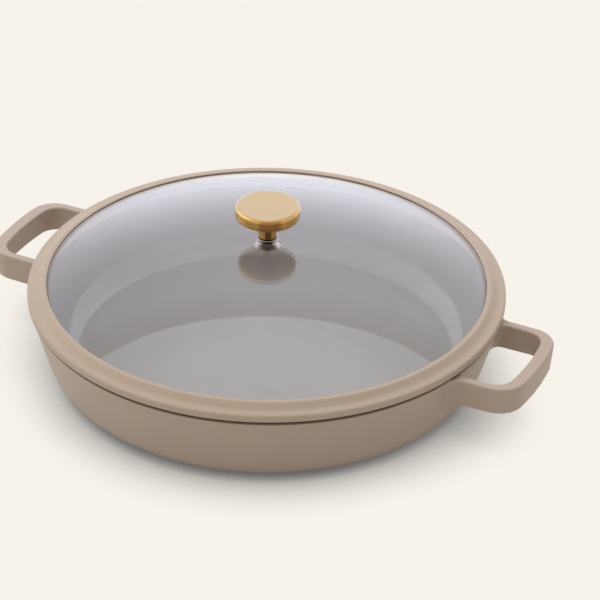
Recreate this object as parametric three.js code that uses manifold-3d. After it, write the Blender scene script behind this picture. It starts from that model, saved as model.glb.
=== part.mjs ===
// A wide, shallow pan with two loop handles and a domed glass lid.
// Millimetres, +Z up, origin at the centre of the base, handles along X.

import * as THREE from 'three';
import { mergeVertices } from 'three/addons/utils/BufferGeometryUtils.js';
import Module from 'manifold-3d';

// Fits and smoothness
const fitGap = 0.3; // between two faces that seat on each other
const roundSteps = 64; // facets round the pan and lid
const smallRoundSteps = 32; // facets round the knob and its fasteners
const arcSag = 0.15; // largest distance of a fillet's facets from its true curve
const domeSteps = 7; // facets from the hole to the edge of the glass
const filletShare = 0.49; // most of a straight run that one fillet may take

// Pan casting
const lipRadius = 155; // outer edge of the lip
const panHeight = 55; // resting plane to the lip
const wallThickness = 3.4;
const floorThickness = 4;
const wallLean = THREE.MathUtils.degToRad(15.3); // how far the wall opens from upright
const outerCorner = 28; // wall to base, outside
const innerCorner = 24; // wall to floor, inside
const lipRound = 1;
const footWidth = 20; // flat ring that the pan stands on
const footRecess = 0.8; // depth of the hollow inside that ring

// Grey cooking layer
const liningThickness = 0.6;
const liningDrop = 1.2; // its edge below the lip

// Loop handles, each a strap bent round the grip
const handleReach = 38.6; // lip to the outside of the grip bar
const barWidth = 79; // outside width at the grip bar
const rootWidth = 80; // outside width at the wall
const barThickness = 9;
const armThickness = 6.2;
const strapHeight = 19;
const handleDrop = 0.4; // top of the strap below the lip
const bendOutside = 17; // radius of the bends
const bendInside = 10.5;
const strapEdge = 1.5; // rounding along the strap's edges
const rootFillet = 8; // where an arm flows into the wall

// Glass of the lid
const domeRise = 29.4; // crown above the rim's inner edge
const glassThickness = 4;
const glassEdge = 1; // ground rounding of the glass edge
const glassHoleRadius = 4;

// Silicone rim of the lid
const rimOverhang = 1.4; // past the pan's lip
const rimWidth = 12.6; // seen from above
const grooveDepth = 4.6; // how far the glass goes into the rim
const seatWeb = 2.7; // silicone under the lowest edge of the glass
const upperLip = 0.65; // silicone over the glass at the rim's inner edge
const upperLipWidth = 3; // flat top of that lip
const lowerLip = 1.4; // silicone under the glass at the rim's inner edge
const lowerLipSetback = 0.6; // from the edge of the upper lip
const ledgeDrop = 0.9; // inner end of the outer ledge below the top of the groove
const ledgeInset = 2.3; // start of the ledge past the end of the groove
const ledgeFall = 0.6; // outer end of the ledge below its inner end
const rimRound = 0.9; // outer edge of the ledge
const edgeLift = 1.3; // outer edge clear of the pan's lip
const seatWidth = 3.4; // outer edge to the flat seat
const skirtDepth = 5; // hangs inside the mouth of the pan
const skirtThickness = 2.4;
const skirtClearance = 0.8;
const softEdge = 0.5; // small roundings of the moulding

// Knob
const knobHeight = 25.3; // crown of the glass to the top of the head
const headRadius = 21.1;
const headThickness = 8.9;
const headTopRound = 3;
const headUnderRound = 2.6;
const stemTopRadius = 6.4;
const stemFootRadius = 6;
const stemFootRound = 1;
const spigotRadius = 4;
const spigotLength = 4.5;

// Fixing through the glass
const bushFlangeRadius = 7.6; // collar between the glass and the stem
const bushFlangeHeight = 1.7;
const padRadius = 9;
const padThickness = 1.5;
const washerRadius = 8;
const washerThickness = 1.2;
const screwRadius = 2.5;
const screwGrip = 9; // length inside the stem
const screwHeadRadius = 4.8;
const screwHeadHeight = 2.8;
const screwHeadRound = 1.2;

// Finishes
const finish = (color, roughness, metalness) =>
  new THREE.MeshStandardMaterial({ color, roughness, metalness });
const coatedMetal = finish(0xb8a694, 0.55, 0.1);
const greyCeramic = finish(0x8c8a87, 0.4, 0);
const silicone = finish(0xbca996, 0.7, 0);
const satinBrass = finish(0xc9a25c, 0.3, 1);
const steel = finish(0xb9bcc0, 0.35, 1);
const clearGlass = finish(0xdfe6ea, 0.05, 0);
clearGlass.transparent = true;
clearGlass.opacity = 0.35;
const clearSilicone = finish(0xe8e8e4, 0.25, 0);
clearSilicone.transparent = true;
clearSilicone.opacity = 0.5;

// Turns corners [across, up, fillet] into outline points, each fillet an arc.
function outline(corners, closed) {
  const count = corners.length;
  const at = (index) => corners[(index + count) % count];
  const points = [];
  corners.forEach(([x, y, fillet = 0], index) => {
    const corner = new THREE.Vector2(x, y);
    const isEnd = !closed && (index === 0 || index === count - 1);
    if (fillet === 0 || isEnd) {
      points.push(corner);
      return;
    }
    const back = new THREE.Vector2(...at(index - 1).slice(0, 2)).sub(corner);
    const ahead = new THREE.Vector2(...at(index + 1).slice(0, 2)).sub(corner);
    const room = filletShare * Math.min(back.length(), ahead.length());
    back.normalize();
    ahead.normalize();
    const halfAngle = Math.acos(THREE.MathUtils.clamp(back.dot(ahead), -1, 1)) / 2;
    const setback = Math.min(fillet / Math.tan(halfAngle), room);
    const radius = setback * Math.tan(halfAngle);
    const middle = back.clone().add(ahead).normalize();
    const centre = corner.clone().addScaledVector(middle, radius / Math.sin(halfAngle));
    const start = corner.clone().addScaledVector(back, setback).sub(centre).angle();
    const turnsLeft = back.cross(ahead) < 0;
    const sweep = (Math.PI - 2 * halfAngle) * (turnsLeft ? 1 : -1);
    const arc = new THREE.EllipseCurve(
      centre.x, centre.y, radius, radius, start, start + sweep, !turnsLeft,
    );
    const arcStep = 2 * Math.acos(Math.max(0, 1 - arcSag / radius));
    points.push(...arc.getPoints(Math.ceil(Math.abs(sweep) / arcStep)));
  });
  return points;
}

// Turns an outline of [radius, height, fillet] round the Z axis.
function revolve(corners, closed, steps) {
  const points = outline(corners, closed);
  if (closed) {
    points.push(points[0].clone());
  }
  return new THREE.LatheGeometry(points, steps).rotateX(Math.PI / 2);
}

const wasm = await Module();
wasm.setup();

// Makes a solid for cutting out of a closed geometry.
function toSolid(geometry) {
  const bare = geometry.clone();
  bare.deleteAttribute('normal');
  bare.deleteAttribute('uv');
  const merged = mergeVertices(bare);
  const mesh = new wasm.Mesh({
    numProp: 3,
    vertProperties: new Float32Array(merged.attributes.position.array),
    triVerts: new Uint32Array(merged.index.array),
  });
  mesh.merge();
  return new wasm.Manifold(mesh);
}

// Takes one closed geometry away from another.
function cut(geometry, tool) {
  const mesh = toSolid(geometry).subtract(toSolid(tool)).getMesh();
  const result = new THREE.BufferGeometry();
  result.setAttribute('position', new THREE.BufferAttribute(mesh.vertProperties, 3));
  result.setIndex(new THREE.BufferAttribute(mesh.triVerts, 1));
  result.computeVertexNormals();
  return result;
}

function piece(name, geometry, material) {
  const mesh = new THREE.Mesh(geometry, material);
  mesh.name = name;
  return mesh;
}

// Radius of the leaning wall at a height, a depth in from its outer face.
const wallRadius = (height, depth) =>
  lipRadius - (panHeight - height) * Math.tan(wallLean) - depth / Math.cos(wallLean);

// Pan casting: base with a foot ring, round corner, leaning wall and rounded lip.
function panBody() {
  const footRadius = wallRadius(0, 0) - outerCorner * Math.tan((Math.PI / 2 - wallLean) / 2);
  const hollowRadius = footRadius - footWidth;
  return revolve([
    [0, footRecess],
    [hollowRadius - footRecess, footRecess],
    [hollowRadius, 0],
    [wallRadius(0, 0), 0, outerCorner],
    [lipRadius, panHeight, lipRound],
    [wallRadius(panHeight, wallThickness), panHeight, lipRound],
    [wallRadius(floorThickness, wallThickness), floorThickness, innerCorner],
    [0, floorThickness],
  ], false, roundSteps);
}

// Cooking layer: an even skin over the floor and wall of the casting.
const liningBack = wallThickness + fitGap;
const liningFace = liningBack + liningThickness;
function ceramicLining() {
  const backFloor = floorThickness + fitGap;
  const faceFloor = backFloor + liningThickness;
  const top = panHeight - liningDrop;
  return revolve([
    [0, backFloor],
    [wallRadius(backFloor, liningBack), backFloor, innerCorner - fitGap],
    [wallRadius(top, liningBack), top],
    [wallRadius(top, liningFace), top],
    [wallRadius(faceFloor, liningFace), faceFloor, innerCorner - fitGap - liningThickness],
    [0, faceFloor],
  ], false, roundSteps);
}

// Loop handle on the +X side: an upright strap that runs out from the wall, round two
// bends and along a grip bar bowed like the pan's rim, cut to the wall of the pan.
function loopHandle() {
  const strapTop = panHeight - handleDrop;
  const strapBottom = strapTop - strapHeight;
  const wallFoot = wallRadius(strapBottom, 0);
  const gripOutside = lipRadius + handleReach;
  const gripInside = gripOutside - barThickness;
  // The bar is an arc about the pan's axis in its middle half, and straight on to the bends
  const bow = Math.asin(barWidth / 4 / gripOutside);
  const alongBar = (radius, y) => radius / Math.cos(bow) - y * Math.tan(bow);
  const outerBarX = alongBar(gripOutside, barWidth / 2);
  const outerRoot = rootWidth / 2;
  const outerRootX = Math.sqrt(wallFoot ** 2 - outerRoot ** 2);
  const splay = Math.atan2(outerRoot - barWidth / 2, outerBarX - outerRootX);
  const innerRoot = outerRoot - armThickness / Math.cos(splay);
  const innerRootX = Math.sqrt(wallFoot ** 2 - innerRoot ** 2);
  const innerArmY = (x) => innerRoot - (x - outerRootX) * Math.tan(splay);
  const innerBarX = alongBar(gripInside, innerArmY(0)) / (1 - Math.tan(bow) * Math.tan(splay));
  const flowRun = 2 * rootFillet;
  const sunk = wallThickness;
  const alongWall = (x, y, run, depth) => {
    const angle = Math.atan2(y, x) + run / wallFoot;
    const radius = wallFoot - depth;
    return [radius * Math.cos(angle), radius * Math.sin(angle)];
  };
  // One arm: its outer face from the wall to the bar, and its inner face from the bar back
  const outerArm = [
    alongWall(outerRootX, outerRoot, flowRun, sunk),
    alongWall(outerRootX, outerRoot, flowRun, 0),
    [outerRootX, outerRoot, rootFillet],
    [outerBarX, barWidth / 2, bendOutside],
  ];
  const innerArm = [
    [innerBarX, innerArmY(innerBarX), bendInside],
    [innerRootX, innerArmY(innerRootX), rootFillet],
    alongWall(innerRootX, innerArmY(innerRootX), -flowRun, 0),
    alongWall(innerRootX, innerArmY(innerRootX), -flowRun, sunk),
  ];
  const mirrored = (arm) => arm.map(([x, y, fillet]) => [x, -y, fillet]);
  const loop = [
    ...mirrored(outerArm),
    [alongBar(gripOutside, 0), 0, gripOutside],
    ...outerArm.toReversed(),
    ...innerArm.toReversed(),
    [alongBar(gripInside, 0), 0, gripInside],
    ...mirrored(innerArm),
  ];
  const strap = new THREE.ExtrudeGeometry(new THREE.Shape(outline(loop, true)), {
    depth: strapHeight - 2 * strapEdge,
    bevelThickness: strapEdge,
    bevelSize: strapEdge,
    bevelOffset: -strapEdge,
    bevelSegments: 2,
  });
  strap.translate(0, 0, strapBottom + strapEdge);
  const above = panHeight + strapHeight;
  const wall = revolve([
    [0, -fitGap],
    [wallRadius(-fitGap, -fitGap), -fitGap, outerCorner + fitGap],
    [wallRadius(above, -fitGap), above],
    [0, above],
  ], false, roundSteps);
  return cut(strap, wall);
}

// The lid's own frame has its origin where the rim seats on the lip.
// The glass is a spherical cap, set by the rim's inner edge and its rise.
const rimOuterRadius = lipRadius + rimOverhang;
const rimInnerRadius = rimOuterRadius - rimWidth;
const glassRadius = rimInnerRadius + grooveDepth;
const grooveEnd = glassRadius + fitGap;
const domeRadius = (rimInnerRadius ** 2 + domeRise ** 2) / (2 * domeRise);
const underRadius = domeRadius - glassThickness;
const domeCentre = seatWeb - Math.sqrt((underRadius - fitGap) ** 2 - grooveEnd ** 2);
const sphereHeight = (radius, sphere) => domeCentre + Math.sqrt(sphere ** 2 - radius ** 2);
const crown = domeCentre + domeRadius;
const underCrown = domeCentre + underRadius;

// Domed glass with a ground edge and a hole for the knob's screw.
function lidGlass() {
  const arcAngle = (radius, sphere) => Math.acos(radius / sphere);
  const dome = (sphere, from, to) =>
    new THREE.EllipseCurve(
      0, domeCentre, sphere, sphere, arcAngle(from, sphere), arcAngle(to, sphere), to > from,
    ).getPoints(domeSteps);
  const corner = ({ x, y }) => [x, y, 0];
  const under = dome(underRadius, glassHoleRadius, glassRadius).map(corner);
  const over = dome(domeRadius, glassRadius, glassHoleRadius).map(corner);
  under[domeSteps][2] = glassEdge;
  over[0][2] = glassEdge;
  return revolve([...under, ...over], true, roundSteps);
}

// Silicone rim: a groove round the edge of the glass, a ledge that covers the pan's lip
// and a skirt that hangs inside its mouth.
function lidRim() {
  const overGlass = domeRadius + fitGap;
  const underGlass = underRadius - fitGap;
  const lowerLipRadius = rimInnerRadius + lowerLipSetback;
  const ledge = sphereHeight(grooveEnd, overGlass) - ledgeDrop;
  const lipPeak = sphereHeight(rimInnerRadius, overGlass) + upperLip;
  const mouth = (height) => wallRadius(height, liningFace) - skirtClearance;
  const skirtTop = mouth(panHeight);
  const skirtFoot = mouth(panHeight - skirtDepth);
  return revolve([
    [rimInnerRadius, sphereHeight(rimInnerRadius, overGlass)],
    [grooveEnd, sphereHeight(grooveEnd, overGlass)],
    [grooveEnd, sphereHeight(grooveEnd, underGlass)],
    [lowerLipRadius, sphereHeight(lowerLipRadius, underGlass)],
    [lowerLipRadius, sphereHeight(lowerLipRadius, underGlass) - lowerLip, softEdge],
    [skirtTop - skirtThickness, 0, softEdge],
    [skirtFoot - skirtThickness, -skirtDepth, softEdge],
    [skirtFoot, -skirtDepth, softEdge],
    [skirtTop, 0, softEdge],
    [rimOuterRadius - seatWidth, 0],
    [rimOuterRadius, edgeLift, softEdge],
    [rimOuterRadius, ledge - ledgeFall, rimRound],
    [grooveEnd + ledgeInset, ledge, softEdge],
    [rimInnerRadius + upperLipWidth, lipPeak],
    [rimInnerRadius, lipPeak, softEdge],
  ], true, roundSteps);
}

// Heights of the knob and its fixing, from the crown of the glass up and down.
const screwBore = screwRadius + fitGap;
const bushFoot = crown + fitGap;
const stemFoot = bushFoot + bushFlangeHeight + fitGap;
const headTop = crown + knobHeight;
const headFoot = headTop - headThickness;
const stemTop = headFoot - fitGap;
const padTop = sphereHeight(padRadius, underRadius) - fitGap;
const padFoot = padTop - padThickness;
const washerTop = padFoot - fitGap;
const washerFoot = washerTop - washerThickness;
const screwSeat = washerFoot - fitGap;

// Knob head: a thick disc with soft edges and a socket for the stem.
function knobHead() {
  const socketRadius = spigotRadius + fitGap;
  const socketTop = headFoot + spigotLength;
  return revolve([
    [0, socketTop],
    [socketRadius, socketTop],
    [socketRadius, headFoot],
    [headRadius, headFoot, headUnderRound],
    [headRadius, headTop, headTopRound],
    [0, headTop],
  ], false, smallRoundSteps);
}

// Knob stem: a post with a spigot above and a blind hole for the screw.
function knobStem() {
  const boreTop = stemFoot + screwGrip + fitGap;
  return revolve([
    [0, boreTop],
    [screwBore, boreTop],
    [screwBore, stemFoot],
    [stemFootRadius, stemFoot, stemFootRound],
    [stemTopRadius, stemTop],
    [spigotRadius, stemTop],
    [spigotRadius, stemTop + spigotLength],
    [0, stemTop + spigotLength],
  ], false, smallRoundSteps);
}

// Bush: a clear collar between the glass and the stem, with a sleeve through the hole.
function knobBush() {
  const sleeveRadius = glassHoleRadius - fitGap;
  return revolve([
    [screwBore, underCrown],
    [sleeveRadius, underCrown],
    [sleeveRadius, bushFoot],
    [bushFlangeRadius, bushFoot, softEdge],
    [bushFlangeRadius, bushFoot + bushFlangeHeight, softEdge],
    [screwBore, bushFoot + bushFlangeHeight],
  ], true, smallRoundSteps);
}

// Flat ring round the screw, for the clear pad and the steel washer.
function ring(outerRadius, foot, top) {
  return revolve([
    [screwBore, foot],
    [outerRadius, foot],
    [outerRadius, top],
    [screwBore, top],
  ], true, smallRoundSteps);
}

// Screw with a rounded head below the washer.
function knobScrew() {
  return revolve([
    [0, screwSeat - screwHeadHeight],
    [screwHeadRadius, screwSeat - screwHeadHeight, screwHeadRound],
    [screwHeadRadius, screwSeat],
    [screwRadius, screwSeat],
    [screwRadius, stemFoot + screwGrip],
    [0, stemFoot + screwGrip],
  ], false, smallRoundSteps);
}

const pan = new THREE.Group();
const handleRight = piece('handle_right', loopHandle(), coatedMetal);
const handleLeft = piece('handle_left', handleRight.geometry, coatedMetal);
handleLeft.rotation.z = Math.PI;
pan.add(
  piece('pan_body', panBody(), coatedMetal),
  piece('ceramic_lining', ceramicLining(), greyCeramic),
  handleRight,
  handleLeft,
);

const lid = new THREE.Group();
lid.position.z = panHeight + fitGap;
lid.add(
  piece('lid_glass', lidGlass(), clearGlass),
  piece('lid_rim', lidRim(), silicone),
  piece('knob_head', knobHead(), satinBrass),
  piece('knob_stem', knobStem(), satinBrass),
  piece('knob_bush', knobBush(), clearSilicone),
  piece('knob_pad', ring(padRadius, padFoot, padTop), clearSilicone),
  piece('knob_washer', ring(washerRadius, washerFoot, washerTop), steel),
  piece('knob_screw', knobScrew(), steel),
);

const lidded = new THREE.Group();
lidded.add(pan, lid);

export default lidded;
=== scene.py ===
"""Dresses the lidded pan: smooth meshes, finishes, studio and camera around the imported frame."""

import logging
import math
from abc import ABC, abstractmethod
from collections.abc import Callable, Iterator, Mapping, Sequence
from dataclasses import dataclass, field
from enum import Enum
from functools import cache
from typing import ClassVar

import bmesh
import bpy
from mathutils import Matrix, Vector


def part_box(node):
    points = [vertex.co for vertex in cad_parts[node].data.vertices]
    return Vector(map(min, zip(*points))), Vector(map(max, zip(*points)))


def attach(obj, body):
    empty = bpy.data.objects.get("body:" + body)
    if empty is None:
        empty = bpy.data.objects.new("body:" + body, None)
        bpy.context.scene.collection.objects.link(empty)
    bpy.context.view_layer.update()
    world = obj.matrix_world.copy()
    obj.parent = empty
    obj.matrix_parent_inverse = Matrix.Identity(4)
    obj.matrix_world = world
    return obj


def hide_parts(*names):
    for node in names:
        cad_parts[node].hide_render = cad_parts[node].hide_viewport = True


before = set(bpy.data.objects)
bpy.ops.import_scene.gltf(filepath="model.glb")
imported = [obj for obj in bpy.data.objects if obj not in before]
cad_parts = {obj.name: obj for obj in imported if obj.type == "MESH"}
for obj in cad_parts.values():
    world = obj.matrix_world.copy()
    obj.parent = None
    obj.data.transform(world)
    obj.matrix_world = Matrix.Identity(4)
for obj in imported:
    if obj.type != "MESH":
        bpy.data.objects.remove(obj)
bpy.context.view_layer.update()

LOG = logging.getLogger("lidded_pan")
MM = 0.001
UP = Vector((0.0, 0.0, 1.0))
SHARP_ANGLE = math.radians(32.0)
ARC_STEP = math.radians(7.5)

Colour = tuple[float, float, float]
Point = tuple[float, float]
Reshape = Callable[[int, float], float | None]

PAPER: Colour = (0.930, 0.896, 0.831)


class Body(Enum):
    """The two bodies of the frame."""

    PAN = "pan"
    LID = "lid"


class Turning(Enum):
    """How an outline closes when it is turned about the pan's axis."""

    SOLID = "starts and ends on the axis"
    RING = "runs round a closed loop"


class Side(Enum):
    """Where a loop handle sits, as its turn about the pan's axis in degrees."""

    RIGHT = 0.0
    LEFT = 180.0


class Ray(Enum):
    """What a shader can ask about the ray that reaches it."""

    CAMERA = "Is Camera Ray"
    SHADOW = "Is Shadow Ray"
    DIFFUSE = "Is Diffuse Ray"
    GLOSSY = "Is Glossy Ray"
    TRANSMISSION = "Is Transmission Ray"
    MIRRORS_MET = "Glossy Depth"


def heading(azimuth: float, elevation: float = 0.0) -> Vector:
    """The direction at an azimuth from the front and an elevation, both in degrees."""
    rise, turn = math.radians(elevation), math.radians(azimuth)
    return Matrix.Rotation(turn, 3, "Z") @ Vector((0.0, -math.cos(rise), math.sin(rise)))


# Shader trees


@dataclass(frozen=True)
class Wire:
    """An output socket that adds nodes when it is used in an expression.

    Numbers add Math nodes. Colours and vectors add Vector Math nodes.
    """

    tree: "ShaderTree"
    socket: bpy.types.NodeSocket

    def join(self, operation: str, other: "Wire | float", swapped: bool = False) -> "Wire":
        """Adds one Math or Vector Math node for this wire and another value.

        Args:
            operation: The node's operation.
            other: The second value.
            swapped: True if the other value comes first.

        Returns:
            The result's wire.
        """
        values = (other, self) if swapped else (self, other)
        kind = "ShaderNodeMath"
        if self.socket.type != "VALUE":
            kind = "ShaderNodeVectorMath"
            values = tuple((end,) * 3 if isinstance(end, float) else end for end in values)
        return self.tree.node(kind, {"operation": operation}, dict(enumerate(values)))

    def __add__(self, other: "Wire | float") -> "Wire":
        """This plus other."""
        return self.join("ADD", other)

    def __radd__(self, other: float) -> "Wire":
        """A number plus this."""
        return self.join("ADD", other, swapped=True)

    def __sub__(self, other: "Wire | float") -> "Wire":
        """This minus other."""
        return self.join("SUBTRACT", other)

    def __rsub__(self, other: float) -> "Wire":
        """A number minus this."""
        return self.join("SUBTRACT", other, swapped=True)

    def __mul__(self, other: "Wire | float") -> "Wire":
        """This times other."""
        return self.join("MULTIPLY", other)

    def __rmul__(self, other: float) -> "Wire":
        """A number times this."""
        return self.join("MULTIPLY", other, swapped=True)

    def __truediv__(self, other: "Wire | float") -> "Wire":
        """This divided by other."""
        return self.join("DIVIDE", other)

    def at_least(self, other: "Wire | float") -> "Wire":
        """The larger of this and another value."""
        return self.join("MAXIMUM", other)

    def along(self, direction: Vector) -> "Wire":
        """How far this vector runs along a direction."""
        ends = {0: self, 1: direction}
        return self.tree.node("ShaderNodeVectorMath", {"operation": "DOT_PRODUCT"}, ends, "Value")


@dataclass(frozen=True)
class Layer:
    """One layer of noise in a finish.

    Attributes:
        grain: Size of its blotches, in the units of its coordinates.
        detail: How many finer layers it holds.
        share: Its part in a mix of layers.
        depth: Height of its bumps, in metres.
    """

    grain: float
    detail: float = 2.0
    share: float = 1.0
    depth: float = 0.0


class ShaderTree:
    """The node tree of a finish, a lamp or the world, emptied when it is taken up."""

    def __init__(self, owner: bpy.types.Material | bpy.types.Light | bpy.types.World) -> None:
        """Empties the owner's node tree.

        Args:
            owner: The material, lamp or world that the nodes belong to.
        """
        owner.use_nodes = True
        self.nodes = owner.node_tree.nodes
        self.links = owner.node_tree.links
        self.nodes.clear()

    def node(
        self,
        kind: str,
        settings: Mapping[str, object] | None = None,
        sockets: Mapping[str | int, object] | None = None,
        output: str | int = 0,
    ) -> Wire:
        """Adds one node.

        Args:
            kind: The node's type.
            settings: Its properties, set before its sockets.
            sockets: Values or wires for its inputs, by name or number.
            output: The output that the wire starts from, by name or number.

        Returns:
            The wire from that output, or from the node's first input where it has no output.
        """
        made = self.nodes.new(kind)
        for name, value in (settings or {}).items():
            setattr(made, name, value)
        for key, value in (sockets or {}).items():
            if isinstance(value, Wire):
                self.links.new(value.socket, made.inputs[key])
            else:
                made.inputs[key].default_value = value
        ends = made.outputs if made.outputs else made.inputs
        return Wire(self, ends[output])

    def coordinates(self, space: str = "Object") -> Wire:
        """The surface's own coordinates, in metres where the space is Object."""
        return self.node("ShaderNodeTexCoord", output=space)

    def noise(self, place: Wire, layer: Layer) -> Wire:
        """A noise between 0 and 1 that follows some coordinates."""
        sockets = {"Vector": place / layer.grain, "Scale": 1.0, "Detail": layer.detail}
        return self.node("ShaderNodeTexNoise", sockets=sockets, output="Fac")

    def noises(self, *layers: Layer) -> tuple[Wire, ...]:
        """A noise on the surface for each of some layers."""
        place = self.coordinates()
        return tuple(self.noise(place, layer) for layer in layers)

    def blend(self, first: Wire | Colour, second: Wire | Colour, share: Wire) -> Wire:
        """Mixes two colours.

        Args:
            first: The colour at a share of 0.
            second: The colour at a share of 1.
            share: The share.

        Returns:
            The mixed colour.
        """
        ends = [end if isinstance(end, Wire) else (*end, 1.0) for end in (first, second)]
        sockets = {0: share, 6: ends[0], 7: ends[1]}
        return self.node("ShaderNodeMix", {"data_type": "RGBA"}, sockets, 2)

    def bump(self, height: Wire, depth: float) -> Wire:
        """The surface's normal, bumped by a height from 0 to 1 that stands for a depth."""
        return self.node("ShaderNodeBump", sockets={"Distance": depth, "Height": height})

    def turning_marks(self, along: float, beside: float) -> Wire:
        """Adds fine marks that run round the pan's axis.

        Args:
            along: Marks to each turn.
            beside: Marks to each metre across them, over a face or up an edge.

        Returns:
            The marks, as a noise between 0 and 1.
        """
        across, deep, high = self.parts(self.coordinates())
        radius = self.from_axis()
        reach = along / math.tau
        places = (across / radius * reach, deep / radius * reach, (radius + high) * beside)
        place = self.node("ShaderNodeCombineXYZ", sockets=dict(enumerate(places)))
        return self.noise(place, Layer(1.0))

    def parts(self, vector: Wire) -> tuple[Wire, Wire, Wire]:
        """The X, Y and Z parts of a vector."""
        first = self.node("ShaderNodeSeparateXYZ", sockets={0: vector})
        return tuple(Wire(self, end) for end in first.socket.node.outputs)

    def level_length(self, vector: Wire) -> Wire:
        """Length of a vector's level part."""
        across, deep, _ = self.parts(vector)
        return (across * across + deep * deep).join("POWER", 0.5)

    def from_axis(self) -> Wire:
        """Distance of the surface from the pan's axis, in metres."""
        return self.level_length(self.coordinates())

    def geometry(self, output: str) -> Wire:
        """The surface's normal or position in the scene."""
        return self.node("ShaderNodeNewGeometry", output=output)

    def openness(self, reach: float) -> Wire:
        """How open the surface is within a reach: 0 in a crevice and 1 in the open."""
        return self.node("ShaderNodeAmbientOcclusion", sockets={"Distance": reach}, output="AO")

    def ray(self, fact: Ray) -> Wire:
        """A fact about the ray that reaches the surface."""
        return self.node("ShaderNodeLightPath", output=fact.value)

    def backdrop_seen(self) -> Wire:
        """One for rays that show the backdrop: straight on, mirrored or through glass."""
        mirrored, passed = self.ray(Ray.GLOSSY), self.ray(Ray.TRANSMISSION)
        return self.ray(Ray.CAMERA).at_least(mirrored).at_least(passed)

    def eased(self, value: Wire, none: float, full: float) -> Wire:
        """A share that rises smoothly, from 0 where the value is none to 1 where it is full."""
        sockets = {"Value": value, "From Min": none, "From Max": full}
        return self.node("ShaderNodeMapRange", {"interpolation_type": "SMOOTHSTEP"}, sockets)

    def principled(self, sockets: Mapping[str, object]) -> Wire:
        """A Principled surface with some of its inputs set."""
        return self.node("ShaderNodeBsdfPrincipled", sockets=sockets)

    def show(self, shader: Wire, output: str = "ShaderNodeOutputMaterial") -> None:
        """Links a shader to the tree's output."""
        self.node(output, sockets={"Surface": shader})


# Finishes


@dataclass(frozen=True)
class Finish(ABC):
    """A surface finish and the record's slot that it fills."""

    slot: ClassVar[str]

    @abstractmethod
    def shader(self, tree: ShaderTree) -> Wire:
        """Adds the finish's nodes to a material's tree, and gives its shader."""


@cache
def material_of(finish: Finish) -> bpy.types.Material:
    """Makes a finish's material, once.

    Args:
        finish: The finish.

    Returns:
        Its material.
    """
    made = bpy.data.materials.new(f"finish_{finish.slot}")
    tree = ShaderTree(made)
    tree.show(finish.shader(tree))
    return made


@dataclass(frozen=True)
class MottledFinish(Finish):
    """A finish in two close colours, mixed by a broad and a fine layer of noise."""

    pale: Colour
    deep: Colour
    broad: Layer
    fine: Layer
    relief: Layer
    smooth: float
    uneven: float
    bloom: float = 0.0
    bloom_spread: float = 0.5

    def colour(self, tree: ShaderTree, mixed: Wire) -> Wire:
        """What shows of the colour that the layers mix: all of it, unless a finish adds more."""
        return mixed

    def shader(self, tree: ShaderTree) -> Wire:
        """See Finish."""
        broad, fine, relief = tree.noises(self.broad, self.fine, self.relief)
        share = self.broad.share * broad + self.fine.share * fine
        return tree.principled(
            {
                "Base Color": self.colour(tree, tree.blend(self.pale, self.deep, share)),
                "Roughness": self.smooth + self.uneven * fine,
                "Sheen Weight": self.bloom,
                "Sheen Roughness": self.bloom_spread,
                "Normal": tree.bump(relief, self.relief.depth),
            }
        )


@dataclass(frozen=True)
class SprayedCoat(MottledFinish):
    """Matte mineral coat, sprayed on the casting and baked, with painted shade in its crevices."""

    slot: ClassVar[str] = "coated_casting"
    pale: Colour = (0.478, 0.382, 0.304)
    deep: Colour = (0.448, 0.354, 0.278)
    broad: Layer = Layer(45 * MM, 3.0, share=0.65)
    fine: Layer = Layer(0.5 * MM, 1.0, share=0.35)
    relief: Layer = Layer(1.6 * MM, 2.0, depth=0.02 * MM)
    smooth: float = 0.44
    uneven: float = 0.12
    # Painted shade: the colour that crevices and gaps darken towards, standing in for the shade
    # there.
    crevice_shade: Colour = (0.12, 0.09, 0.065)
    crevice_shade_reach: float = 4 * MM
    crevice_shade_shut: float = 0.2
    crevice_shade_open: float = 0.6

    def colour(self, tree: ShaderTree, mixed: Wire) -> Wire:
        """The mixed colour, with painted shade where other faces are close."""
        # Painted shade from ambient occlusion: the coat darkens where other faces are close.
        reached = tree.openness(self.crevice_shade_reach)
        clear = tree.eased(reached, self.crevice_shade_shut, self.crevice_shade_open)
        return tree.blend(self.crevice_shade, mixed, clear)


@dataclass(frozen=True)
class GreyCeramic(MottledFinish):
    """Satin grey ceramic of the cooking surface."""

    slot: ClassVar[str] = "cooking_surface"
    pale: Colour = (0.345, 0.330, 0.322)
    deep: Colour = (0.305, 0.292, 0.285)
    broad: Layer = Layer(30 * MM, 2.0, share=0.5)
    fine: Layer = Layer(0.6 * MM, 2.0, share=0.5)
    relief: Layer = Layer(4 * MM, 1.0, depth=0.003 * MM)
    smooth: float = 0.03
    uneven: float = 0.04


@dataclass(frozen=True)
class MouldedSilicone(MottledFinish):
    """Soft matte silicone of the lid's rim, with a faint bloom."""

    slot: ClassVar[str] = "rim_silicone"
    pale: Colour = (0.500, 0.397, 0.303)
    deep: Colour = (0.466, 0.366, 0.275)
    broad: Layer = Layer(60 * MM, 2.0, share=0.6)
    fine: Layer = Layer(0.35 * MM, 2.0, share=0.4)
    relief: Layer = Layer(0.35 * MM, 2.0, depth=0.012 * MM)
    smooth: float = 0.52
    uneven: float = 0.14
    bloom: float = 0.08
    bloom_spread: float = 0.4


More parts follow.
